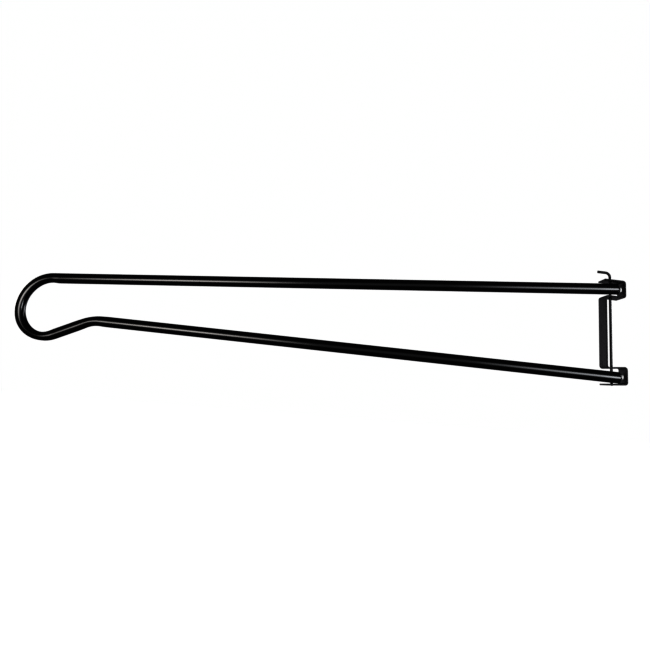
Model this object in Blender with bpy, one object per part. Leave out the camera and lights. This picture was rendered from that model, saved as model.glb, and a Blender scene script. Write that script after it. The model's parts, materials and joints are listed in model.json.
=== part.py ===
# Fold-away blanket bar: a round tube bent into a hairpin with a loop at its tip,
# hinged on a dropped-in rod pin in a wall bracket folded from one strip of steel.
# Metres. The wall is the plane X = 0, the open bar reaches out along -X and Z runs up the pin.

import math

import bmesh
import bpy
from mathutils import Vector

# Bar: tube, its two legs, the loop at the tip and the soft bend back into the lower leg
BAR_OD = 0.0159
BAR_WALL = 0.0015
LEG_TAPER = math.radians(2.26)
LEG_REACH = 0.8492
LOOP_TOP_R = 0.0491
LOOP_TOP_TURN = math.radians(84.7)
LOOP_LOW_R = 0.0425
LOOP_EXIT = math.radians(22.8)
KINK_R = 0.060

# Flats that the bender leaves: the share of the tube's depth that goes, and how far it fades each way
START_FLAT = 0.065
START_FLAT_LEAD = 0.012
START_FLAT_TRAIL = 0.046
LOW_FLAT = 0.19
LOW_FLAT_TO_EXIT = 0.0217
LOW_FLAT_LEAD = 0.050
LOW_FLAT_TRAIL = 0.028
KINK_FLAT = 0.09
KINK_FLAT_FADE = 0.027

# Bracket: strip, folds and the distances from the wall
STRIP_W = 0.03175
STRIP_T = 0.002
FOLD_R = 0.002
BRACKET_H = 0.1508
FLANGE_FALL = math.radians(4.0)
PIN_TO_WALL = 0.0171
PIN_TO_FRONT = 0.0114
SCREW_HOLE_D = 0.0075
SCREW_HOLE_OUT = 0.0015

# Pin: rod, bent grip and the thinner tip that sits through the lowest flange
PIN_D = 0.0036
TIP_D = 0.0028
TIP_SHOWS = 0.0006
GRIP_RISE = 0.0054
GRIP_R = 0.0066
GRIP_TURN = math.radians(86.0)
GRIP_REACH = 0.0172

# Clearances
PIN_CLEAR = 0.0003
SEAT_GAP = 0.0003
TAIL_TO_WEB = 0.0046
LEG_TO_OUTER_FLANGE = 0.0016
LEG_TO_INNER_FLANGE = 0.0037

# Facets
TUBE_SIDES = 32
ROD_SIDES = 20

# Sizes that follow from the ones above
BAR_R = BAR_OD / 2
PIN_X = -PIN_TO_WALL
STANDOFF = PIN_TO_WALL + PIN_TO_FRONT
TAIL = PIN_TO_WALL - STRIP_T - TAIL_TO_WEB
FALL = math.tan(FLANGE_FALL)
STRIP_RISE = STRIP_T / math.cos(FLANGE_FALL)
CLEVIS_H = BAR_OD + LEG_TO_OUTER_FLANGE + LEG_TO_INNER_FLANGE + 2 * STRIP_RISE
FLANGE_AT_PIN = BRACKET_H / 2 - FALL * PIN_TO_FRONT
LEG_AT_PIN = FLANGE_AT_PIN - STRIP_RISE - LEG_TO_OUTER_FLANGE - BAR_R
SCREW_HOLE_Z = BRACKET_H / 2 - FALL * STANDOFF - CLEVIS_H / 2 + SCREW_HOLE_OUT


def outer_flange_inside(x):
    """Height of the top flange's underside at x; the bottom flange mirrors it."""
    return BRACKET_H / 2 - STRIP_RISE - FALL * (x + STANDOFF)


def circle(radius, sides):
    """Round section as (across the bend, along Y) offsets."""
    turns = [2 * math.pi * (i + 0.5) / sides for i in range(sides)]
    return [(radius * math.cos(a), radius * math.sin(a)) for a in turns]


def rectangle(across, along):
    a, b = across / 2, along / 2
    return [(-a, -b), (a, -b), (a, b), (-a, b)]


def ahead(heading):
    return Vector((math.cos(heading), 0, math.sin(heading)))


def left_of(heading):
    return Vector((-math.sin(heading), 0, math.cos(heading)))


def bell(distance, before, after):
    """One at no distance, fading smoothly to nothing at each end."""
    share = distance / (after if distance > 0 else before)
    return 0.5 + 0.5 * math.cos(math.pi * share) if abs(share) < 1 else 0.0


class Bender:
    """Pushes a section through straight runs and bends in the XZ plane, like a tube bender."""

    def __init__(self, section, start, heading):
        self.bm = bmesh.new()
        self.point = Vector((start[0], 0, start[1]))
        self.heading = heading
        self.travel = 0.0
        self.stations = []
        side = left_of(heading)
        ring = [self.bm.verts.new(self.point + side * n + Vector((0, y, 0))) for n, y in section]
        self.edges = [self.bm.edges.new((a, b)) for a, b in zip(ring, ring[1:] + ring[:1])]
        self.first = list(self.edges)

    def ring(self):
        return list({v for e in self.edges for v in e.verts})

    def push(self):
        made = bmesh.ops.extrude_edge_only(self.bm, edges=self.edges)["geom"]
        ring = {g for g in made if isinstance(g, bmesh.types.BMVert)}
        self.edges = [g for g in made if isinstance(g, bmesh.types.BMEdge) and set(g.verts) <= ring]

    def note(self, length):
        self.travel += length
        self.stations.append((self.ring(), self.point.copy(), left_of(self.heading), self.travel))

    def run(self, length, steps=1):
        part = length / steps
        for _ in range(steps):
            self.push()
            bmesh.ops.translate(self.bm, verts=self.ring(), vec=ahead(self.heading) * part)
            self.point = self.point + ahead(self.heading) * part
            self.note(part)

    def step(self, factor):
        """A square shoulder: the section grows or shrinks on the spot."""
        self.push()
        for v in self.ring():
            v.co = self.point + (v.co - self.point) * factor

    def bend(self, angle, radius, steps):
        """Turns left by a positive angle; radius is to the middle of the section."""
        centre = self.point + left_of(self.heading) * math.copysign(radius, angle)
        for _ in range(steps):
            made = bmesh.ops.spin(
                self.bm,
                geom=self.ring() + self.edges,
                cent=centre,
                axis=(0, -1, 0),
                angle=angle / steps,
                steps=1,
            )["geom_last"]
            self.edges = [g for g in made if isinstance(g, bmesh.types.BMEdge)]
            self.heading += angle / steps
            self.point = centre - left_of(self.heading) * math.copysign(radius, angle)
            self.note(radius * abs(angle) / steps)

    def flatten(self, at, depth, before, after, left_only=False):
        """Squeezes the section across the bend, deepest at a travelled length; it widens along Y."""
        for ring, point, side, travel in self.stations:
            amount = depth * bell(travel - at, before, after)
            for v in ring:
                off = v.co - point
                across = off.dot(side)
                share = 2 * amount * (across > 0) if left_only else amount
                v.co = point + side * across * (1 - share) + (off - side * across) * (1 + amount / 2)

    def mesh(self, name, open_ends=False):
        bm = self.bm
        caps = bmesh.ops.edgeloop_fill(bm, edges=self.first)["faces"]
        caps += bmesh.ops.edgeloop_fill(bm, edges=self.edges)["faces"]
        bmesh.ops.recalc_face_normals(bm, faces=bm.faces)
        if open_ends:
            bmesh.ops.delete(bm, geom=caps, context="FACES_ONLY")
        mesh = bpy.data.meshes.new(name)
        bm.to_mesh(mesh)
        bm.free()
        mesh.shade_smooth()
        mesh.set_sharp_from_angle(angle=math.radians(40))
        return mesh


def put(name, mesh, location, material=None):
    obj = bpy.data.objects.new(name, mesh)
    obj.location = location
    bpy.context.scene.collection.objects.link(obj)
    if material:
        mesh.materials.append(material)
    return obj


def drill(name, diameter, start, end, sides=ROD_SIDES):
    """A round cutter between two points."""
    start, end = Vector(start), Vector(end)
    bm = bmesh.new()
    bmesh.ops.create_cone(
        bm,
        cap_ends=True,
        segments=sides,
        radius1=diameter / 2,
        radius2=diameter / 2,
        depth=(end - start).length,
    )
    turn = Vector((0, 0, 1)).rotation_difference(end - start).to_matrix()
    bmesh.ops.rotate(bm, verts=bm.verts, matrix=turn)
    mesh = bpy.data.meshes.new(name)
    bm.to_mesh(mesh)
    bm.free()
    cutter = put(name, mesh, (start + end) / 2)
    cutter.hide_render = True
    cutter.display_type = "WIRE"
    return cutter


def cut(obj, cutter):
    modifier = obj.modifiers.new(cutter.name, "BOOLEAN")
    modifier.operation = "DIFFERENCE"
    modifier.solver = "EXACT"
    modifier.object = cutter


def coat(name, colour, roughness):
    material = bpy.data.materials.new(name)
    material.use_nodes = True
    shader = material.node_tree.nodes["Principled BSDF"]
    shader.inputs["Base Color"].default_value = (*colour, 1)
    shader.inputs["Metallic"].default_value = 0.0
    shader.inputs["Roughness"].default_value = roughness
    return material


def fold_strip():
    """The bracket's strip: two U folds on the wall, joined by a plate that stands off it."""
    middle = FOLD_R + STRIP_T / 2
    web_x = -STRIP_T / 2
    plate_x = -STANDOFF + STRIP_T / 2
    top = BRACKET_H / 2 - STRIP_RISE / 2
    low = BRACKET_H / 2 - CLEVIS_H + STRIP_RISE / 2
    tight = math.pi / 2 - FLANGE_FALL
    slack = math.pi / 2 + FLANGE_FALL
    flange = (web_x - plate_x) / math.cos(FLANGE_FALL)
    free_flange = (web_x + STANDOFF) / math.cos(FLANGE_FALL)
    web = CLEVIS_H - STRIP_RISE
    plate = 2 * low
    tight_in = middle * math.tan(tight / 2)
    slack_in = middle * math.tan(slack / 2)
    stock = Bender(rectangle(STRIP_T, STRIP_W), (-STANDOFF, top), -FLANGE_FALL)
    stock.run(free_flange - tight_in)
    stock.bend(-tight, middle, 6)
    stock.run(web - tight_in - slack_in)
    stock.bend(-slack, middle, 6)
    stock.run(flange - 2 * slack_in)
    stock.bend(slack, middle, 6)
    stock.run(plate - 2 * FALL * (plate_x + STANDOFF) - 2 * slack_in)
    stock.bend(slack, middle, 6)
    stock.run(flange - 2 * slack_in)
    stock.bend(-slack, middle, 6)
    stock.run(web - tight_in - slack_in)
    stock.bend(-tight, middle, 6)
    stock.run(free_flange - tight_in)
    return stock.mesh("wall_bracket")


def bend_bar():
    """The hairpin, in its own frame: the pin's axis is X = 0 and Z = 0 is midway between the legs."""
    heading = math.pi + LEG_TAPER
    start = Vector((0, 0, LEG_AT_PIN)) - ahead(heading) * TAIL
    stock = Bender(circle(BAR_R, TUBE_SIDES), (start.x, start.z), heading)
    stock.run(TAIL + LEG_REACH - START_FLAT_LEAD)
    stock.run(START_FLAT_LEAD, 4)
    loop_start = stock.travel
    stock.bend(LOOP_TOP_TURN, LOOP_TOP_R, 14)
    stock.bend(math.pi + LOOP_EXIT - LEG_TAPER - LOOP_TOP_TURN, LOOP_LOW_R, 20)
    loop_exit = stock.travel
    # The straight side of the loop runs on until it meets the lower leg's line.
    way = ahead(LOOP_EXIT)
    drop = -LEG_AT_PIN - stock.point.x * math.tan(LEG_TAPER) - stock.point.z
    to_leg = drop / (way.z + way.x * math.tan(LEG_TAPER))
    corner = stock.point + way * to_leg
    kink = LOOP_EXIT + LEG_TAPER
    kink_in = KINK_R * math.tan(kink / 2)
    stock.run(to_leg - kink_in, 9)
    kink_middle = stock.travel + KINK_R * kink / 2
    stock.bend(-kink, KINK_R, 8)
    stock.run(KINK_FLAT_FADE / 2, 4)
    stock.run(-corner.x / math.cos(LEG_TAPER) - kink_in - KINK_FLAT_FADE / 2 + TAIL)
    stock.flatten(loop_start, START_FLAT, START_FLAT_LEAD, START_FLAT_TRAIL, left_only=True)
    stock.flatten(loop_exit - LOW_FLAT_TO_EXIT, LOW_FLAT, LOW_FLAT_LEAD, LOW_FLAT_TRAIL)
    stock.flatten(kink_middle, KINK_FLAT, KINK_FLAT_FADE, KINK_FLAT_FADE)
    return stock.mesh("blanket_bar", open_ends=True)


def bar_seat():
    """How far the bar drops until its lower tail rests on the bottom flange."""
    heading = -LEG_TAPER
    tail = Vector((PIN_X, 0, -LEG_AT_PIN)) + ahead(heading) * TAIL - left_of(heading) * BAR_R
    return -outer_flange_inside(tail.x) + SEAT_GAP - tail.z


def bend_pin():
    """The rod, in its own frame: its straight part lies on the Z axis."""
    slope_over_rod = FALL * PIN_D / 2
    shoulder = -outer_flange_inside(PIN_X) + slope_over_rod + SEAT_GAP
    tip_end = -FLANGE_AT_PIN - TIP_SHOWS
    bend_at = FLANGE_AT_PIN + GRIP_RISE
    out = GRIP_R * (1 - math.cos(GRIP_TURN))
    stock = Bender(circle(TIP_D / 2, ROD_SIDES), (0, tip_end), math.pi / 2)
    stock.run(shoulder - tip_end)
    stock.step(PIN_D / TIP_D)
    stock.run(bend_at - shoulder)
    stock.bend(GRIP_TURN, GRIP_R, 10)
    stock.run((GRIP_REACH - out) / math.sin(GRIP_TURN))
    return stock.mesh("hinge_pin")


for old in list(bpy.data.objects):
    bpy.data.objects.remove(old)

black_strip = coat("black_coat_strip", (0.010, 0.010, 0.011), 0.34)
black_tube = coat("black_coat_tube", (0.008, 0.008, 0.009), 0.24)
black_rod = coat("black_coat_rod", (0.012, 0.012, 0.013), 0.30)

# Bracket, with the pin's holes down the flanges and one screw hole in each web
bracket = put("wall_bracket", fold_strip(), (0, 0, 0), black_strip)
pin_hole_d = PIN_D + 2 * PIN_CLEAR
tip_hole_d = TIP_D + 2 * PIN_CLEAR
above = (PIN_X, 0, BRACKET_H)
below = (PIN_X, 0, -BRACKET_H)
in_lower_fold = (PIN_X, 0, -BRACKET_H / 2 + CLEVIS_H / 2)
cut(bracket, drill("pin_hole_cutter", pin_hole_d, in_lower_fold, above))
cut(bracket, drill("tip_hole_cutter", tip_hole_d, below, in_lower_fold))
for side, z in (("upper", SCREW_HOLE_Z), ("lower", -SCREW_HOLE_Z)):
    through_web = (-3 * STRIP_T, 0, z), (2 * STRIP_T, 0, z)
    cut(bracket, drill(f"{side}_screw_cutter", SCREW_HOLE_D, *through_web, 24))

# Bar: the tube gets its wall, then the pin's holes through both legs
bar = put("blanket_bar", bend_bar(), (PIN_X, 0, bar_seat()), black_tube)
wall = bar.modifiers.new("tube_wall", "SOLIDIFY")
wall.thickness = BAR_WALL
wall.offset = -1
wall.use_even_offset = True
cut(bar, drill("bar_hole_cutter", pin_hole_d, below, above))

# Pin, dropped in from above
put("hinge_pin", bend_pin(), (PIN_X, 0, 0), black_rod)

tip = min((bar.matrix_basis @ v.co).x for v in bar.data.vertices)
print(f"reach from the wall {-tip * 1000:.1f} mm, legs {2000 * LEG_AT_PIN:.1f} mm apart at the pin")
fold_gap = CLEVIS_H - 2 * STRIP_RISE
print(f"fold opening {fold_gap * 1000:.1f} mm, bar drops {-bar_seat() * 1000:.2f} mm to its seat")
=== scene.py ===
import json
import math

import bmesh
import bpy
from mathutils import Matrix, Vector


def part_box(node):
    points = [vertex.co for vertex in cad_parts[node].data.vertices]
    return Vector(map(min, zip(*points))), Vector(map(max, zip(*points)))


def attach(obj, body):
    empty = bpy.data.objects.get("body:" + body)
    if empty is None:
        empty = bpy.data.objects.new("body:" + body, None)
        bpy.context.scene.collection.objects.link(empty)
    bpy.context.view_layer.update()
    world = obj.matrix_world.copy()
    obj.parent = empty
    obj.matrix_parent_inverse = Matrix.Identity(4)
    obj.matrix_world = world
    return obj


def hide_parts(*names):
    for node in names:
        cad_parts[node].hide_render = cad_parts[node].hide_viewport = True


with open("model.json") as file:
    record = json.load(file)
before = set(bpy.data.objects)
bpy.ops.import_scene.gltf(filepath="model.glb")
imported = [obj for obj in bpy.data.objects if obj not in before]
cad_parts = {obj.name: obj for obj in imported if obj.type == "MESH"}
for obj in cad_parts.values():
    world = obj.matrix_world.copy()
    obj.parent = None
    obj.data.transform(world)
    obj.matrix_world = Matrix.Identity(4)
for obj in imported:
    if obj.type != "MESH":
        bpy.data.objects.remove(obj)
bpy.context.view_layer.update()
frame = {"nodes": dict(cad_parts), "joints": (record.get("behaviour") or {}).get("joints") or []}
print("frame loaded:", ", ".join(sorted(frame["nodes"])))

mm = 0.001
swing = next(j for j in frame["joints"] if j["name"] == "bar_swing")
pinX = swing["pos_m"][0]    # the pin's axis, out from the wall
barLow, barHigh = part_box("blanket_bar")
stripLow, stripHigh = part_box("wall_bracket")
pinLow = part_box("hinge_pin")[0]


# node helpers: a feed is a plain value, or a socket to link from
def addNode(tree, kind, feeds=None, **settings):
    node = tree.nodes.new(kind)
    for key, value in settings.items():
        setattr(node, key, value)
    for key, value in (feeds or {}).items():
        if isinstance(value, bpy.types.NodeSocket):
            tree.links.new(value, node.inputs[key])
        else:
            node.inputs[key].default_value = value
    return node


def calc(tree, operation, *values):
    return addNode(tree, "ShaderNodeMath", dict(enumerate(values)), operation=operation).outputs[0]


def vectorCalc(tree, operation, *values):
    node = addNode(tree, "ShaderNodeVectorMath", dict(enumerate(values)), operation=operation)
    return node.outputs["Value" if operation == "DOT_PRODUCT" else "Vector"]


def pick(tree, test, no, yes):
    feeds = {"Switch": test, "False": no, "True": yes}
    return addNode(tree, "GeometryNodeSwitch", feeds, input_type="FLOAT").outputs[0]


def isAbove(tree, value, limit):
    feeds = {"A": value, "B": limit}
    return addNode(tree, "FunctionNodeCompare", feeds, operation="GREATER_THAN").outputs[0]


def attributeOf(tree, name):
    node = addNode(tree, "GeometryNodeInputNamedAttribute", {"Name": name}, data_type="FLOAT")
    return node.outputs["Attribute"]


def startTree(name, inputs):
    tree = bpy.data.node_groups.new(name, "GeometryNodeTree")
    tree.interface.new_socket("Geometry", in_out="INPUT", socket_type="NodeSocketGeometry")
    for label, kind in inputs + [("Material", "Material")]:
        tree.interface.new_socket(label, in_out="INPUT", socket_type="NodeSocket" + kind)
    tree.interface.new_socket("Geometry", in_out="OUTPUT", socket_type="NodeSocketGeometry")
    return tree, tree.nodes.new("NodeGroupInput").outputs


def endTree(tree, given, geometry):
    real = addNode(tree, "GeometryNodeRealizeInstances", {"Geometry": geometry})
    coat = {"Geometry": real.outputs[0], "Material": given["Material"]}
    coated = addNode(tree, "GeometryNodeSetMaterial", coat)
    addNode(tree, "NodeGroupOutput", {"Geometry": coated.outputs[0]})
    return tree


def runTree(piece, tree, values):
    step = piece.modifiers.new(tree.name, "NODES")
    step.node_group = tree
    for item in tree.interface.items_tree:
        if item.item_type == "SOCKET" and item.in_out == "INPUT" and item.name in values:
            step[item.identifier] = values[item.name]


def makePlain(piece):
    graph = bpy.context.evaluated_depsgraph_get()
    old = piece.data
    plain = bpy.data.meshes.new_from_object(piece.evaluated_get(graph))
    piece.modifiers.clear()
    piece.data = plain
    bpy.data.meshes.remove(old)
    plain.name = piece.name


# a centre line in the XZ plane; each corner is (x, z, bend radius), on the rod with a thickness too
def centreLine(name, corners):
    mesh = bpy.data.meshes.new(name)
    points = [(corner[0], 0, corner[1]) for corner in corners]
    mesh.from_pydata(points, [(i, i + 1) for i in range(len(points) - 1)], [])
    columns = list(zip(*corners))[2:]
    for label, column in zip(("bendRadius", "thickness"), columns):
        values = mesh.attributes.new(label, "FLOAT", "POINT")
        for item, value in zip(values.data, column):
            item.value = value
    piece = bpy.data.objects.new(name, mesh)
    bpy.context.scene.collection.objects.link(piece)
    return piece


def ahead(heading):
    return Vector((math.cos(heading), math.sin(heading)))


def filletPath(tree, given, steps):
    curve = addNode(tree, "GeometryNodeMeshToCurve", {"Mesh": given["Geometry"]})
    bend = {"Curve": curve.outputs[0], "Count": steps, "Limit Radius": False}
    bend["Radius"] = attributeOf(tree, "bendRadius")
    return addNode(tree, "GeometryNodeFilletCurve", bend, mode="POLY").outputs[0]


# a row of drilled holes, cut with one drill copied along a line
def throughHolesTree():
    inputs = [("Hole Radius", "Float"), ("Depth", "Float"), ("Sides", "Int"), ("Count", "Int")]
    inputs += [("First", "Vector"), ("Spacing", "Vector"), ("Turn", "Rotation")]
    tree, given = startTree("throughHoles", inputs)
    size = {"Vertices": given["Sides"], "Radius": given["Hole Radius"], "Depth": given["Depth"]}
    drill = addNode(tree, "GeometryNodeMeshCylinder", size)
    row = {"Count": given["Count"], "Start Location": given["First"], "Offset": given["Spacing"]}
    places = addNode(tree, "GeometryNodeMeshLine", row)
    spread = {"Points": places.outputs[0], "Instance": drill.outputs["Mesh"], "Rotation": given["Turn"]}
    drills = addNode(tree, "GeometryNodeInstanceOnPoints", spread)
    solid = addNode(tree, "GeometryNodeRealizeInstances", {"Geometry": drills.outputs[0]})
    cut = {"Mesh 1": given["Geometry"], "Mesh 2": solid.outputs[0]}
    left = addNode(tree, "GeometryNodeMeshBoolean", cut, operation="DIFFERENCE", solver="EXACT")
    return endTree(tree, given, left.outputs["Mesh"])


throughHoles = throughHolesTree()


def easeEdges(piece, name, width, steps, angle):
    ease = piece.modifiers.new(name, "BEVEL")
    ease.width = width
    ease.segments = steps
    ease.limit_method = "ANGLE"
    ease.angle_limit = angle
    return ease


# where the coat is rubbed, or where a highlight is painted, as a value on the piece's own points
def markPoints(piece, label, test):
    values = piece.data.attributes.new(label, "FLOAT", "POINT")
    for item, point in zip(values.data, piece.data.vertices):
        item.value = float(test(point.co))


def smoothBelow(piece, angle):
    piece.data.shade_smooth()
    piece.data.set_sharp_from_angle(angle=angle)


def fasten(piece, node, body):
    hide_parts(node)
    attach(piece, body)


# the black powder coat's patterns, which all three pieces share; noise scales are per metre
coatPattern = {
    "ripple": {"detail": 1.5, "roughness": 0.45},
    "rippleShare": 0.8,    # of the coat's relief; the fine grain has the rest
    "fine": {"detail": 2.0, "roughness": 0.5},
    "fineShare": 0.2,
    "reliefDepth": 0.12 * mm,
    "mottle": {"scale": 38.0, "detail": 3.0, "roughness": 0.55, "distortion": 0.4},
    "smudge": {"detail": 4.0, "roughness": 0.6, "distortion": 1.1},
    "smudgeFade": {"low": 0.48, "high": 0.74},
    "scuffStretch": (9.0, 60.0, 60.0),    # drawn out along X
    "scuff": {"scale": 14.0, "detail": 4.0, "roughness": 0.72, "distortion": 0.3},
    "scuffFade": {"low": 0.62, "high": 0.70},
    "dustUpward": {"low": 0.25, "high": 1.0},    # by the Z of the normal
    "dustSpecks": {"detail": 3.0, "roughness": 0.7},
    "dustSpecksFade": {"low": 0.56, "high": 0.74},
    "dustPatches": {"scale": 21.0, "detail": 3.0, "roughness": 0.6},
    "dustPatchesFade": {"low": 0.35, "high": 0.75},
    "dustSpeckShare": 0.75,    # the even film has the rest
    "dustFilmShare": 0.25,
    "dustColour": (0.30, 0.28, 0.25),
    "dustRoughness": 0.6,
    "rubPatches": {"detail": 4.0, "roughness": 0.65},
    "rubPatchesFade": {"low": 0.50, "high": 0.66},
}


# shader groups: the grain of the powder coat, marks of handling, settled dust and rubbed edges
def startGroup(name, inputs, outputs):
    tree = bpy.data.node_groups.new(name, "ShaderNodeTree")
    for label, value in inputs.items():
        socket = tree.interface.new_socket(label, in_out="INPUT", socket_type="NodeSocketFloat")
        socket.default_value = value
    for label in outputs:
        tree.interface.new_socket(label, in_out="OUTPUT", socket_type="NodeSocketFloat")
    place = addNode(tree, "ShaderNodeTexCoord").outputs["Object"]
    return tree, tree.nodes.new("NodeGroupInput").outputs, place


def noise(tree, place, scale, detail, roughness, distortion=0.0):
    feeds = {"Vector": place, "Scale": scale, "Detail": detail}
    feeds.update({"Roughness": roughness, "Distortion": distortion})
    return addNode(tree, "ShaderNodeTexNoise", feeds).outputs[0]


def fadeBetween(tree, value, low, high):
    feeds = {"Value": value, "From Min": low, "From Max": high}
    return addNode(tree, "ShaderNodeMapRange", feeds, interpolation_type="SMOOTHSTEP").outputs[0]


def coatGrainGroup(pattern):
    inputs = {"Ripple": 420.0, "Fine": 1900.0}
    tree, given, place = startGroup("coatGrain", inputs, ("Height", "Mottle"))
    ripple = noise(tree, place, given["Ripple"], **pattern["ripple"])
    fine = noise(tree, place, given["Fine"], **pattern["fine"])
    ripple = calc(tree, "MULTIPLY", ripple, pattern["rippleShare"])
    fine = calc(tree, "MULTIPLY", fine, pattern["fineShare"])
    mottle = noise(tree, place, **pattern["mottle"])
    addNode(tree, "NodeGroupOutput", {"Height": calc(tree, "ADD", ripple, fine), "Mottle": mottle})
    return tree


def handlingMarksGroup(pattern):
    tree, given, place = startGroup("handlingMarks", {"Size": 26.0}, ("Smudge", "Scuff"))
    smudge = noise(tree, place, given["Size"], **pattern["smudge"])
    smudge = fadeBetween(tree, smudge, **pattern["smudgeFade"])
    drawn = addNode(tree, "ShaderNodeMapping", {"Vector": place, "Scale": pattern["scuffStretch"]})
    lines = noise(tree, drawn.outputs[0], **pattern["scuff"])
    scuff = calc(tree, "MULTIPLY", fadeBetween(tree, lines, **pattern["scuffFade"]), smudge)
    addNode(tree, "NodeGroupOutput", {"Smudge": smudge, "Scuff": scuff})
    return tree


def settledDustGroup(pattern):
    tree, given, place = startGroup("settledDust", {"Speck": 900.0}, ("Dust",))
    normal = addNode(tree, "ShaderNodeNewGeometry").outputs["Normal"]
    facing = addNode(tree, "ShaderNodeSeparateXYZ", {0: normal})
    upward = fadeBetween(tree, facing.outputs["Z"], **pattern["dustUpward"])
    specks = noise(tree, place, given["Speck"], **pattern["dustSpecks"])
    specks = fadeBetween(tree, specks, **pattern["dustSpecksFade"])
    patches = noise(tree, place, **pattern["dustPatches"])
    patches = fadeBetween(tree, patches, **pattern["dustPatchesFade"])
    film = calc(tree, "MULTIPLY_ADD", specks, pattern["dustSpeckShare"], pattern["dustFilmShare"])
    dust = calc(tree, "MULTIPLY", calc(tree, "MULTIPLY", film, patches), upward)
    addNode(tree, "NodeGroupOutput", {"Dust": dust})
    return tree


def rubbedEdgeGroup(pattern):
    tree, given, place = startGroup("rubbedEdge", {"Break Up": 240.0}, ("Rub",))
    mask = addNode(tree, "ShaderNodeAttribute", attribute_name="rub").outputs["Fac"]
    patches = noise(tree, place, given["Break Up"], **pattern["rubPatches"])
    patches = fadeBetween(tree, patches, **pattern["rubPatchesFade"])
    addNode(tree, "NodeGroupOutput", {"Rub": calc(tree, "MULTIPLY", mask, patches)})
    return tree


coatGrain = coatGrainGroup(coatPattern)
handlingMarks = handlingMarksGroup(coatPattern)
settledDust = settledDustGroup(coatPattern)
rubbedEdge = rubbedEdgeGroup(coatPattern)


def mixColour(tree, factor, low, high):
    feeds = {0: factor, 6: low, 7: high}    # where the Mix node keeps its colours
    return addNode(tree, "ShaderNodeMix", feeds, data_type="RGBA").outputs[2]


def blackCoat(name, look, pattern):
    material = bpy.data.materials.new(name)
    material.use_nodes = True
    tree = material.node_tree
    ripple, smudge = {"Ripple": look["ripple"]}, {"Size": look["smudgeSize"]}
    grain = addNode(tree, "ShaderNodeGroup", ripple, node_tree=coatGrain).outputs
    marks = addNode(tree, "ShaderNodeGroup", smudge, node_tree=handlingMarks).outputs
    dust = addNode(tree, "ShaderNodeGroup", node_tree=settledDust).outputs["Dust"]
    rubbed = addNode(tree, "ShaderNodeGroup", node_tree=rubbedEdge).outputs["Rub"]
    colour = mixColour(tree, grain["Mottle"], (*look["black"], 1), (*look["paler"], 1))
    rub = calc(tree, "MULTIPLY", rubbed, look["rub"])
    colour = mixColour(tree, rub, colour, (*look["underCoat"], 1))
    # painted highlight: the points marked for it, the screw holes' walls, turn a pale grey
    if "paintedHoleGlint" in look:
        holeGlint = addNode(tree, "ShaderNodeAttribute", attribute_name="holeGlint").outputs["Fac"]
        colour = mixColour(tree, holeGlint, colour, (*look["paintedHoleGlint"], 1))
    film = calc(tree, "MULTIPLY", dust, look["dust"])
    colour = mixColour(tree, film, colour, (*pattern["dustColour"], 1))
    # each mark adds its share to the coat's roughness
    rough = look["roughness"] - look["uneven"] / 2
    added = [(grain["Mottle"], look["uneven"]), (marks["Smudge"], look["smudge"])]
    added += [(marks["Scuff"], look["scuff"]), (film, pattern["dustRoughness"])]
    for mark, share in added:
        rough = calc(tree, "MULTIPLY_ADD", mark, share, rough)
    bump = {"Strength": look["bump"], "Distance": pattern["reliefDepth"], "Height": grain["Height"]}
    relief = addNode(tree, "ShaderNodeBump", bump)
    shader = tree.nodes["Principled BSDF"]
    tree.links.new(colour, shader.inputs["Base Color"])
    tree.links.new(rough, shader.inputs["Roughness"])
    tree.links.new(relief.outputs[0], shader.inputs["Normal"])
    shader.inputs["Metallic"].default_value = 0.0
    shader.inputs["IOR"].default_value = 1.5
    shader.inputs["Specular IOR Level"].default_value = look["specular"]
    return material


print("shader groups:", ", ".join(g.name for g in (coatGrain, handlingMarks, settledDust, rubbedEdge)))


# camera, set where both legs, the loop and the bracket fall on the photograph's lines
viewpoint = {
    "at": (-0.33977, -0.96883, -0.08283),
    "yaw": 0.10278,
    "pitch": 0.19921,
    "roll": 0.07244,
    "focalShare": 0.99127,    # focal length over the picture's width
    "shiftUp": -0.13077,
}


def makeCamera(setting):
    yaw, pitch, roll = setting["yaw"], setting["pitch"], setting["roll"]
    up = Vector((0, 0, 1))
    level = Vector((math.cos(yaw), math.sin(yaw), 0))
    outward = Vector((-math.sin(yaw), math.cos(yaw), 0))
    forward = outward * math.cos(pitch) + up * math.sin(pitch)
    top = up * math.cos(pitch) - outward * math.sin(pitch)
    across = level * math.cos(roll) + top * math.sin(roll)
    upright = top * math.cos(roll) - level * math.sin(roll)
    data = bpy.data.cameras.new("photoCamera")
    data.sensor_fit = "HORIZONTAL"
    data.sensor_width = 36.0
    data.lens = setting["focalShare"] * data.sensor_width
    data.shift_y = setting["shiftUp"]
    data.clip_start = 0.01
    camera = bpy.data.objects.new("photoCamera", data)
    bpy.context.scene.collection.objects.link(camera)
    turn = Matrix((across, upright, -forward)).transposed().to_4x4()
    camera.matrix_world = Matrix.Translation(setting["at"]) @ turn
    bpy.context.scene.camera = camera


makeCamera(viewpoint)
print("camera placed")


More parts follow.
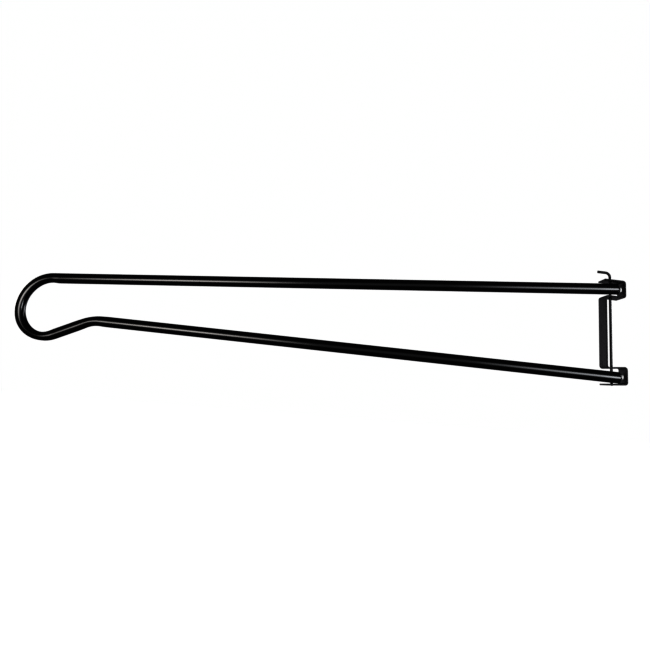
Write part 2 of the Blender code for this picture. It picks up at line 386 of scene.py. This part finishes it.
# the hairpin: one tube from tail to tail
hairpin = {
    "wall": 1.5 * mm,
    "across": 15.9 * mm,
    "legTaper": math.radians(2.26),
    "legReach": 849.2 * mm,    # pin to the start of the loop, along the upper leg
    "loopTopRadius": 49.1 * mm,
    "loopTopTurn": math.radians(84.7),
    "loopLowRadius": 42.5 * mm,
    "loopExit": math.radians(22.8),
    "kinkRadius": 60.0 * mm,
    "lowFlatToExit": 21.7 * mm,
    "flats": {    # depth, fade before, fade after
        "Start": (0.065, 12 * mm, 46 * mm),
        "Low": (0.19, 50 * mm, 28 * mm),
        "Kink": (0.09, 27 * mm, 27 * mm),
    },
    "flatSpread": 0.5,    # the share of a flat's depth that widens the tube sideways
    "sides": 56,
    "arcSteps": 36,
    "bendStep": 2.6 * mm,
    "legStep": 28.0 * mm,
    "runIn": 16 * mm,    # rings stand close from this far before the loop
    "runOut": 18 * mm,    # until this far past the reverse bend
    "rimRound": 0.45 * mm,
    "rimSteps": 3,
    "rimAngle": math.radians(60),
    "rimRub": 1.1,    # rubbed this many rim rounds deep
    "pinHole": 4.2 * mm,
    "holeSides": 32,
    "drillLength": 300 * mm,    # one drill goes through both ends
    "smoothBelow": math.radians(40),
    "look": {
        "black": (0.0045, 0.0045, 0.0050),
        "paler": (0.0090, 0.0088, 0.0088),
        "underCoat": (0.09, 0.09, 0.09),
        "ripple": 420.0,
        "bump": 0.09,
        "specular": 0.5,
        "roughness": 0.135,
        "uneven": 0.04,
        "smudgeSize": 26.0,
        "smudge": 0.04,
        "scuff": 0.08,
        "dust": 0.03,
        "rub": 0.08,
    },
}
flatParts = ("At", "Depth", "Before", "After")


# how deep a flat is at a place along the tube
def benderFlatTree():
    tree = bpy.data.node_groups.new("benderFlat", "GeometryNodeTree")
    for label in ("Travel", *flatParts):
        tree.interface.new_socket(label, in_out="INPUT", socket_type="NodeSocketFloat")
    tree.interface.new_socket("Amount", in_out="OUTPUT", socket_type="NodeSocketFloat")
    given = tree.nodes.new("NodeGroupInput").outputs
    distance = calc(tree, "SUBTRACT", given["Travel"], given["At"])
    fade = pick(tree, isAbove(tree, distance, 0.0), given["Before"], given["After"])
    share = calc(tree, "MINIMUM", calc(tree, "DIVIDE", calc(tree, "ABSOLUTE", distance), fade), 1.0)
    wave = calc(tree, "COSINE", calc(tree, "MULTIPLY", share, math.pi))
    bell = calc(tree, "MULTIPLY_ADD", wave, 0.5, 0.5)
    addNode(tree, "NodeGroupOutput", {"Amount": calc(tree, "MULTIPLY", bell, given["Depth"])})
    return tree


benderFlat = benderFlatTree()


def bentTubeTree(flatNames, flatSpread):
    inputs = [("Tube Radius", "Float"), ("Sides", "Int"), ("Arc Steps", "Int")]
    inputs += [("Bend Step", "Float"), ("Leg Step", "Float")]
    inputs += [(f"{name} {part}", "Float") for name in flatNames for part in flatParts]
    tree, given = startTree("bentTube", inputs)
    path = filletPath(tree, given, given["Arc Steps"])
    # rings stand close beside the bends and far apart on the long legs
    longGap, doubledGap = 100 * mm, 0.01 * mm
    travel = addNode(tree, "GeometryNodeSplineParameter").outputs["Length"]
    nextPoint = calc(tree, "ADD", addNode(tree, "GeometryNodeInputIndex").outputs[0], 1.0)
    reach = {"Value": travel, "Index": nextPoint}
    nextTravel = addNode(tree, "GeometryNodeFieldAtIndex", reach, data_type="FLOAT", domain="POINT")
    gap = calc(tree, "SUBTRACT", nextTravel.outputs[0], travel)
    step = pick(tree, isAbove(tree, gap, longGap), given["Bend Step"], given["Leg Step"])
    cuts = calc(tree, "FLOOR", calc(tree, "DIVIDE", calc(tree, "MAXIMUM", gap, 0.0), step))
    # one arc runs straight into the next, and their shared point comes twice
    doubled = {"Geometry": path, "Selection": isAbove(tree, doubledGap, calc(tree, "ABSOLUTE", gap))}
    single = addNode(tree, "GeometryNodeDeleteGeometry", doubled, domain="POINT")
    fine = addNode(tree, "GeometryNodeSubdivideCurve", {"Curve": single.outputs[0], "Cuts": cuts})
    keep = addNode(tree, "GeometryNodeCaptureAttribute", {"Geometry": fine.outputs[0]}, domain="POINT")
    for kind, label in (("VECTOR", "Middle"), ("VECTOR", "Way"), ("FLOAT", "Travelled")):
        keep.capture_items.new(kind, label)
    position = addNode(tree, "GeometryNodeInputPosition").outputs[0]
    tangent = addNode(tree, "GeometryNodeInputTangent").outputs[0]
    for label, value in (("Middle", position), ("Way", tangent), ("Travelled", travel)):
        tree.links.new(value, keep.inputs[label])
    section = {"Resolution": given["Sides"], "Radius": given["Tube Radius"]}
    ring = addNode(tree, "GeometryNodeCurvePrimitiveCircle", section, mode="RADIUS")
    sweep = {"Curve": keep.outputs["Geometry"], "Profile Curve": ring.outputs[0], "Fill Caps": False}
    tube = addNode(tree, "GeometryNodeCurveToMesh", sweep)
    # the bender's flats: squeezed across the bend, spread a little sideways
    flat = {}
    for name in flatNames:
        feeds = {part: given[f"{name} {part}"] for part in flatParts}
        feeds["Travel"] = keep.outputs["Travelled"]
        flat[name] = addNode(tree, "GeometryNodeGroup", feeds, node_tree=benderFlat).outputs["Amount"]
    sideAxis = (0, 1, 0)
    off = vectorCalc(tree, "SUBTRACT", position, keep.outputs["Middle"])
    left = vectorCalc(tree, "CROSS_PRODUCT", keep.outputs["Way"], sideAxis)
    across = vectorCalc(tree, "DOT_PRODUCT", off, left)
    sideways = vectorCalc(tree, "DOT_PRODUCT", off, sideAxis)
    even = calc(tree, "ADD", flat["Low"], flat["Kink"])
    # the flat at the loop's start has all its depth on one side
    oneSided = pick(tree, isAbove(tree, across, 0.0), 0.0, 2.0)
    inside = calc(tree, "MULTIPLY", flat["Start"], oneSided)
    squeeze = calc(tree, "SUBTRACT", 1.0, calc(tree, "ADD", even, inside))
    spread = calc(tree, "MULTIPLY_ADD", calc(tree, "ADD", even, flat["Start"]), flatSpread, 1.0)
    scaled = {0: left, "Scale": calc(tree, "MULTIPLY", across, squeeze)}
    newAcross = addNode(tree, "ShaderNodeVectorMath", scaled, operation="SCALE")
    newSideways = addNode(tree, "ShaderNodeCombineXYZ", {"Y": calc(tree, "MULTIPLY", sideways, spread)})
    place = vectorCalc(tree, "ADD", newAcross.outputs[0], newSideways.outputs[0])
    place = vectorCalc(tree, "ADD", place, keep.outputs["Middle"])
    shaped = addNode(tree, "GeometryNodeSetPosition", {"Geometry": tube.outputs[0], "Position": place})
    return endTree(tree, given, shaped.outputs[0])


# the tube's corners, its two ends with the way they face, and where along it the flats are deepest
def hairpinRoute(setting):
    taper, radius = setting["legTaper"], setting["across"] / 2
    tail = (barHigh.x - pinX - radius * math.sin(taper)) / math.cos(taper)
    middle = (barHigh.z + barLow.z) / 2
    legUp = (barHigh.z - barLow.z) / 2 - tail * math.sin(taper) - radius * math.cos(taper)
    topRadius, topTurn = setting["loopTopRadius"], setting["loopTopTurn"]
    lowRadius, lowTurn = setting["loopLowRadius"], math.pi + setting["loopExit"] - taper - topTurn
    heading = math.pi + taper
    pinTop = Vector((pinX, middle + legUp))
    start = pinTop - ahead(heading) * tail
    loopStart = pinTop + ahead(heading) * setting["legReach"]
    beforeLoop = loopStart - ahead(heading) * setting["runIn"]
    firstCorner = loopStart + ahead(heading) * topRadius * math.tan(topTurn / 2)
    turned = heading + topTurn
    loopLeft = firstCorner + ahead(turned) * topRadius * math.tan(topTurn / 2)
    secondCorner = loopLeft + ahead(turned) * lowRadius * math.tan(lowTurn / 2)
    # the loop's straight side runs on until it meets the lower leg's line
    side = ahead(setting["loopExit"])
    drop = middle - legUp - (secondCorner.x - pinX) * math.tan(taper) - secondCorner.y
    thirdCorner = secondCorner + side * drop / (side.y + side.x * math.tan(taper))
    end = Vector((pinX, middle - legUp)) + ahead(-taper) * tail
    kink = setting["loopExit"] + taper
    kinkIn = setting["kinkRadius"] * math.tan(kink / 2)
    afterKink = thirdCorner + ahead(-taper) * (kinkIn + setting["runOut"])
    corners = [
        (*start, 0),
        (*beforeLoop, 0),
        (*firstCorner, topRadius),
        (*secondCorner, lowRadius),
        (*thirdCorner, setting["kinkRadius"]),
        (*afterKink, 0),
        (*end, 0),
    ]
    ends = ((start, -ahead(heading)), (end, ahead(-taper)))
    sideRun = (thirdCorner - secondCorner).length - lowRadius * math.tan(lowTurn / 2) - kinkIn
    startAt = tail + setting["legReach"]    # lengths travelled from the upper tail
    exitAt = startAt + topRadius * topTurn + lowRadius * lowTurn
    deepest = {
        "Start": startAt,
        "Low": exitAt - setting["lowFlatToExit"],
        "Kink": exitAt + sideRun + setting["kinkRadius"] * kink / 2,
    }
    return corners, ends, deepest


# the saw-cut ends of the tube, eased by hand before coating
def roundRims(piece, setting):
    work = bmesh.new()
    work.from_mesh(piece.data)
    rims = [e for e in work.edges if e.is_manifold and e.calc_face_angle() > setting["rimAngle"]]
    shape = {"offset_type": "OFFSET", "profile": 0.5, "affect": "EDGES"}
    bmesh.ops.bevel(work, geom=rims, offset=setting["rimRound"], segments=setting["rimSteps"], **shape)
    work.to_mesh(piece.data)
    work.free()


def makeHairpin(setting, coat):
    corners, ends, deepest = hairpinRoute(setting)
    piece = centreLine("blanketBar", corners)
    values = {
        "Tube Radius": setting["across"] / 2,
        "Sides": setting["sides"],
        "Arc Steps": setting["arcSteps"],
        "Bend Step": setting["bendStep"],
        "Leg Step": setting["legStep"],
        "Material": coat,
    }
    for name, shape in setting["flats"].items():
        for part, value in zip(flatParts, (deepest[name], *shape)):
            values[f"{name} {part}"] = value
    runTree(piece, bentTubeTree(list(setting["flats"]), setting["flatSpread"]), values)
    wall = piece.modifiers.new("tubeWall", "SOLIDIFY")
    wall.thickness = setting["wall"]
    wall.offset = -1.0
    wall.use_even_offset = True
    makePlain(piece)
    roundRims(piece, setting)
    hole = {
        "Hole Radius": setting["pinHole"] / 2,
        "Depth": setting["drillLength"],
        "Sides": setting["holeSides"],
        "Count": 1,
        "First": (pinX, 0, 0),
        "Material": coat,
    }
    runTree(piece, throughHoles, hole)
    makePlain(piece)
    rim = -setting["rimRub"] * setting["rimRound"]

    def nearEnd(point):
        return any((Vector((point.x, point.z)) - at).dot(way) > rim for at, way in ends)

    markPoints(piece, "rub", nearEnd)
    smoothBelow(piece, setting["smoothBelow"])
    return piece


tubeCoat = blackCoat("glossBlackTube", hairpin["look"], coatPattern)
blanketBar = makeHairpin(hairpin, tubeCoat)
print("hairpin bent:", len(blanketBar.data.polygons), "faces")


# the bracket: one strip folded to and fro, holes drilled after folding
bracket = {
    "thick": 2.0 * mm,
    "foldRadius": 2.0 * mm,    # inside the fold
    "flangeFall": math.radians(4.0),
    "foldOpening": 21.2 * mm,    # between the two flanges of a U fold, along Z
    "pinHole": 4.2 * mm,
    "tipHole": 3.4 * mm,
    "screwHole": 7.5 * mm,
    "screwOut": 1.5 * mm,    # screw holes sit this far off the web's middle
    "tipTop": 10 * mm,    # pin holes end and the tip's hole starts this far above the bracket's foot
    "pinDrill": 200 * mm,
    "tipDrill": 30 * mm,
    "screwDrill": 10 * mm,
    "holeSides": 36,
    "edgeRound": 0.55 * mm,
    "edgeSteps": 5,
    "edgeRub": 0.95,    # rubbed over this much of the rounded edge
    "foldSteps": 12,
    "holeRound": 0.28 * mm,
    "holeSteps": 3,
    "holeAngle": math.radians(40),
    "frontRub": 1.2,    # rubbed this many hole rounds in from the front
    "glintOver": 0.05 * mm,    # the painted highlight reaches this far past the screw hole's wall
    "look": {
        "black": (0.0050, 0.0050, 0.0055),
        "paler": (0.0100, 0.0098, 0.0098),
        "underCoat": (0.12, 0.12, 0.12),
        "paintedHoleGlint": (0.42, 0.42, 0.41),    # painted highlight: the screw holes' walls are painted a pale grey
        "ripple": 520.0,
        "bump": 0.26,
        "specular": 0.15,
        "roughness": 0.44,
        "uneven": 0.07,
        "smudgeSize": 60.0,
        "smudge": 0.06,
        "scuff": 0.12,
        "dust": 0.03,
        "rub": 0.12,
    },
}


def foldedStripTree():
    inputs = [("Strip Width", "Float"), ("Strip Thickness", "Float"), ("Edge Round", "Float")]
    inputs += [("Edge Steps", "Int"), ("Fold Steps", "Int")]
    tree, given = startTree("foldedStrip", inputs)
    path = filletPath(tree, given, given["Fold Steps"])
    size = {"Width": given["Strip Width"], "Height": given["Strip Thickness"]}
    outline = addNode(tree, "GeometryNodeCurvePrimitiveQuadrilateral", size, mode="RECTANGLE")
    eased = {"Curve": outline.outputs[0], "Count": given["Edge Steps"], "Radius": given["Edge Round"]}
    section = addNode(tree, "GeometryNodeFilletCurve", eased, mode="POLY")
    sweep = {"Curve": path, "Profile Curve": section.outputs[0], "Fill Caps": True}
    strip = addNode(tree, "GeometryNodeCurveToMesh", sweep)
    return endTree(tree, given, strip.outputs[0])


def makeBracket(setting, coat):
    thick, fall = setting["thick"], math.tan(setting["flangeFall"])
    rise = thick / math.cos(setting["flangeFall"])    # the strip's thickness along Z in a flange
    front, web, plate = stripLow.x, -thick / 2, stripLow.x + thick / 2
    top = stripHigh.z - rise / 2
    low = top - setting["foldOpening"] - rise
    fold = setting["foldRadius"] + thick / 2
    half = [
        (front, top, 0),
        (web, top - fall * (web - front), fold),
        (web, low - fall * (web - front), fold),
        (plate, low - fall * (plate - front), fold),
    ]
    corners = half + [(x, -z, bend) for x, z, bend in reversed(half)]
    piece = centreLine("wallBracket", corners)
    width = stripHigh.y - stripLow.y
    values = {
        "Strip Width": width,
        "Strip Thickness": thick,
        "Edge Round": setting["edgeRound"],
        "Edge Steps": setting["edgeSteps"],
        "Fold Steps": setting["foldSteps"],
        "Material": coat,
    }
    runTree(piece, foldedStripTree(), values)
    # pin holes through the upper three flanges, the tip's hole in the lowest, a screw hole in each web
    seat = -stripHigh.z + setting["tipTop"]
    screwUp = (half[1][1] + half[2][1]) / 2 + setting["screwOut"]
    pinRun = {"First": (pinX, 0, seat + setting["pinDrill"] / 2)}
    tipRun = {"First": (pinX, 0, seat - setting["tipDrill"] / 2)}
    screwRun = {"First": (0, 0, screwUp), "Spacing": (0, 0, -2 * screwUp), "Count": 2}
    screwRun["Turn"] = (0, math.pi / 2, 0)
    for kind, run in (("pin", pinRun), ("tip", tipRun), ("screw", screwRun)):
        size = {"Hole Radius": setting[kind + "Hole"] / 2, "Depth": setting[kind + "Drill"]}
        size.update({"Sides": setting["holeSides"], "Count": 1, "Material": coat})
        runTree(piece, throughHoles, {**size, **run})
    eased = setting["holeRound"]
    ease = easeEdges(piece, "easedEdges", eased, setting["holeSteps"], setting["holeAngle"])
    ease.use_clamp_overlap = False
    makePlain(piece)
    piece.data.shade_smooth()
    level = piece.modifiers.new("flatFaces", "WEIGHTED_NORMAL")
    level.weight = 100
    makePlain(piece)
    edge = width / 2 - setting["edgeRound"] * setting["edgeRub"]
    lip = front + eased * setting["frontRub"]
    markPoints(piece, "rub", lambda p: abs(p.y) > edge or p.x < lip)
    # painted highlight on the screw holes' walls: marked on the points within the bore
    bore = setting["screwHole"] / 2 + setting["glintOver"]
    markPoints(piece, "holeGlint", lambda p: math.hypot(p.y, abs(p.z) - screwUp) < bore)
    return piece


stripCoat = blackCoat("satinBlackStrip", bracket["look"], coatPattern)
wallBracket = makeBracket(bracket, stripCoat)
print("strip folded:", len(wallBracket.data.polygons), "faces")


# the pin: one rod, bent over at the top as a grip
rodPin = {
    "across": 3.6 * mm,
    "tipAcross": 2.8 * mm,
    "shoulder": -72.17 * mm,
    "shoulderStep": 0.01 * mm,    # the tip widens to the rod within this height
    "bendStart": 80.0 * mm,
    "gripRadius": 6.6 * mm,
    "gripTurn": math.radians(86.0),
    "gripReach": 17.2 * mm,
    "sides": 36,
    "bendSteps": 24,
    "endRound": 0.4 * mm,
    "endSteps": 4,
    "endAngle": math.radians(50),
    "smoothBelow": math.radians(60),
    "look": {
        "black": (0.0045, 0.0045, 0.0050),
        "paler": (0.0090, 0.0088, 0.0088),
        "underCoat": (0.15, 0.15, 0.15),
        "ripple": 640.0,
        "bump": 0.20,
        "specular": 0.2,
        "roughness": 0.22,
        "uneven": 0.07,
        "smudgeSize": 80.0,
        "smudge": 0.06,
        "scuff": 0.14,
        "dust": 0.03,
        "rub": 0.12,
    },
}


def bentRodTree():
    tree, given = startTree("bentRod", [("Sides", "Int"), ("Bend Steps", "Int")])
    path = filletPath(tree, given, given["Bend Steps"])
    unitRing = {"Resolution": given["Sides"], "Radius": 0.5}    # one across, for the thickness to scale
    ring = addNode(tree, "GeometryNodeCurvePrimitiveCircle", unitRing, mode="RADIUS")
    sweep = {"Curve": path, "Profile Curve": ring.outputs[0], "Fill Caps": True}
    sweep["Scale"] = attributeOf(tree, "thickness")
    rod = addNode(tree, "GeometryNodeCurveToMesh", sweep)
    return endTree(tree, given, rod.outputs[0])


def makePin(setting, coat):
    thick, thin = setting["across"], setting["tipAcross"]
    corner = setting["bendStart"] + setting["gripRadius"] * math.tan(setting["gripTurn"] / 2)
    way = ahead(math.pi / 2 + setting["gripTurn"])
    grip = Vector((pinX, corner)) + way * setting["gripReach"] / -way.x
    corners = [
        (pinX, pinLow.z, 0, thin),
        (pinX, setting["shoulder"], 0, thin),
        (pinX, setting["shoulder"] + setting["shoulderStep"], 0, thick),
        (pinX, corner, setting["gripRadius"], thick),
        (*grip, 0, thick),
    ]
    piece = centreLine("hingePin", corners)
    values = {"Sides": setting["sides"], "Bend Steps": setting["bendSteps"], "Material": coat}
    runTree(piece, bentRodTree(), values)
    eased = setting["endRound"]
    easeEdges(piece, "easedEnds", eased, setting["endSteps"], setting["endAngle"])
    makePlain(piece)
    markPoints(piece, "rub", lambda p: p.x < grip.x + eased or p.z < setting["shoulder"] + eased)
    smoothBelow(piece, setting["smoothBelow"])
    return piece


rodCoat = blackCoat("glossBlackRod", rodPin["look"], coatPattern)
hingePin = makePin(rodPin, rodCoat)
print("pin bent:", len(hingePin.data.polygons), "faces")

fasten(blanketBar, "blanket_bar", "bar")
fasten(wallBracket, "wall_bracket", "bracket")
fasten(hingePin, "hinge_pin", "pin")


# a white studio: two soft boxes beside the camera, a faint room behind it, a grey card low behind
# the bar, and three boxes behind and above that light the sides the photograph doesn't show
studio = {
    "floorDown": 0.46,
    "floorSize": 9.0,
    "floorColour": (0.9, 0.9, 0.9),
    "floorRoughness": 0.9,
    "floorGlow": 1.0,
    "displayGamma": 0.5,    # the photograph's contrast, which keeps thin dark edges dark
    "fadePower": 0.5,    # below 1, a box stays bright further out from its middle
    "dimSurround": (0.005, 0.005, 0.0055),
    "boxes": {    # centre, aim, width, height, radiance, colour
        "softLeft": ((-1.00, -1.00, -0.11), (-1.00, 0.0, -0.11), 0.86, 0.80, 15.6, (1.0, 0.97, 0.94)),
        "softRight": ((0.60, -1.00, -0.08), (0.60, 0.0, -0.08), 1.36, 0.92, 17.2, (0.95, 0.97, 1.0)),
        "roomFill": ((-0.35, -1.70, -0.10), (-0.35, 0.0, -0.10), 3.00, 2.40, 0.90, (0.97, 0.98, 1.0)),
        "backCard": ((-0.40, 1.30, -0.05), (-0.40, 0.0, -0.05), 3.40, 1.30, 1.30, (0.95, 0.95, 1.0)),
        "backRight": ((1.45, 1.40, 0.40), (-0.45, 0.0, 0.0), 1.60, 1.60, 11.0, (0.95, 0.97, 1.0)),
        "topRight": ((1.75, 0.35, 1.45), (-0.45, 0.0, 0.0), 1.50, 1.20, 8.0, (0.97, 0.98, 1.0)),
        "backLeft": ((-2.40, 1.30, 0.35), (-0.45, 0.0, 0.0), 1.20, 1.20, 5.0, (1.0, 0.97, 0.94)),
    },
}


# each box is brightest in the middle and fades out to its edges
def softBox(name, fadePower, at, aim, width, height, radiance, colour):
    data = bpy.data.lights.new(name, "AREA")
    data.shape = "RECTANGLE"
    data.size = width
    data.size_y = height
    data.energy = radiance * math.pi * width * height
    data.color = colour
    data.use_nodes = True
    tree = data.node_tree
    inBox = addNode(tree, "ShaderNodeNewGeometry").outputs["Parametric"]
    place = addNode(tree, "ShaderNodeSeparateXYZ", {0: inBox})
    fades = []
    for axis in ("X", "Y"):    # from 0..1 across the box to 0 in its middle and 1 at its edges
        off = calc(tree, "ABSOLUTE", calc(tree, "MULTIPLY_ADD", place.outputs[axis], 2.0, -1.0))
        fades.append(fadeBetween(tree, off, 1.0, 0.0))
    fade = calc(tree, "POWER", calc(tree, "MULTIPLY", *fades), fadePower)
    tree.links.new(fade, tree.nodes["Emission"].inputs["Strength"])
    light = bpy.data.objects.new(name, data)
    light.location = at
    light.rotation_mode = "QUATERNION"
    light.rotation_quaternion = (Vector(aim) - Vector(at)).to_track_quat("-Z", "Y")
    light.visible_camera = False
    bpy.context.scene.collection.objects.link(light)


def makeFloor(setting):
    half, down = setting["floorSize"] / 2, -setting["floorDown"]
    corners = [(-half, -half, down), (half, -half, down), (half, half, down), (-half, half, down)]
    mesh = bpy.data.meshes.new("paleFloor")
    mesh.from_pydata(corners, [], [(0, 1, 2, 3)])
    floor = bpy.data.objects.new("paleFloor", mesh)
    bpy.context.scene.collection.objects.link(floor)
    paper = bpy.data.materials.new("whitePaper")
    paper.use_nodes = True
    shader = paper.node_tree.nodes["Principled BSDF"]
    shader.inputs["Base Color"].default_value = (*setting["floorColour"], 1)
    shader.inputs["Roughness"].default_value = setting["floorRoughness"]
    shader.inputs["Emission Color"].default_value = (1, 1, 1, 1)
    shader.inputs["Emission Strength"].default_value = setting["floorGlow"]
    mesh.materials.append(paper)
    floor.visible_glossy = False    # black gloss stays black, as on a lit sweep far below
    floor.visible_diffuse = False


def makeStudio(setting):
    for name, box in setting["boxes"].items():
        softBox(name, setting["fadePower"], *box)
    world = bpy.data.worlds.new("whiteSurround")
    world.use_nodes = True
    tree = world.node_tree
    seen = addNode(tree, "ShaderNodeLightPath").outputs["Is Camera Ray"]
    tint = mixColour(tree, seen, (*setting["dimSurround"], 1), (1, 1, 1, 1))
    tree.links.new(tint, tree.nodes["Background"].inputs["Color"])
    bpy.context.scene.world = world
    bpy.context.scene.view_settings.view_transform = "Standard"
    bpy.context.scene.view_settings.gamma = setting["displayGamma"]
    makeFloor(setting)


makeStudio(studio)
print("studio lit")
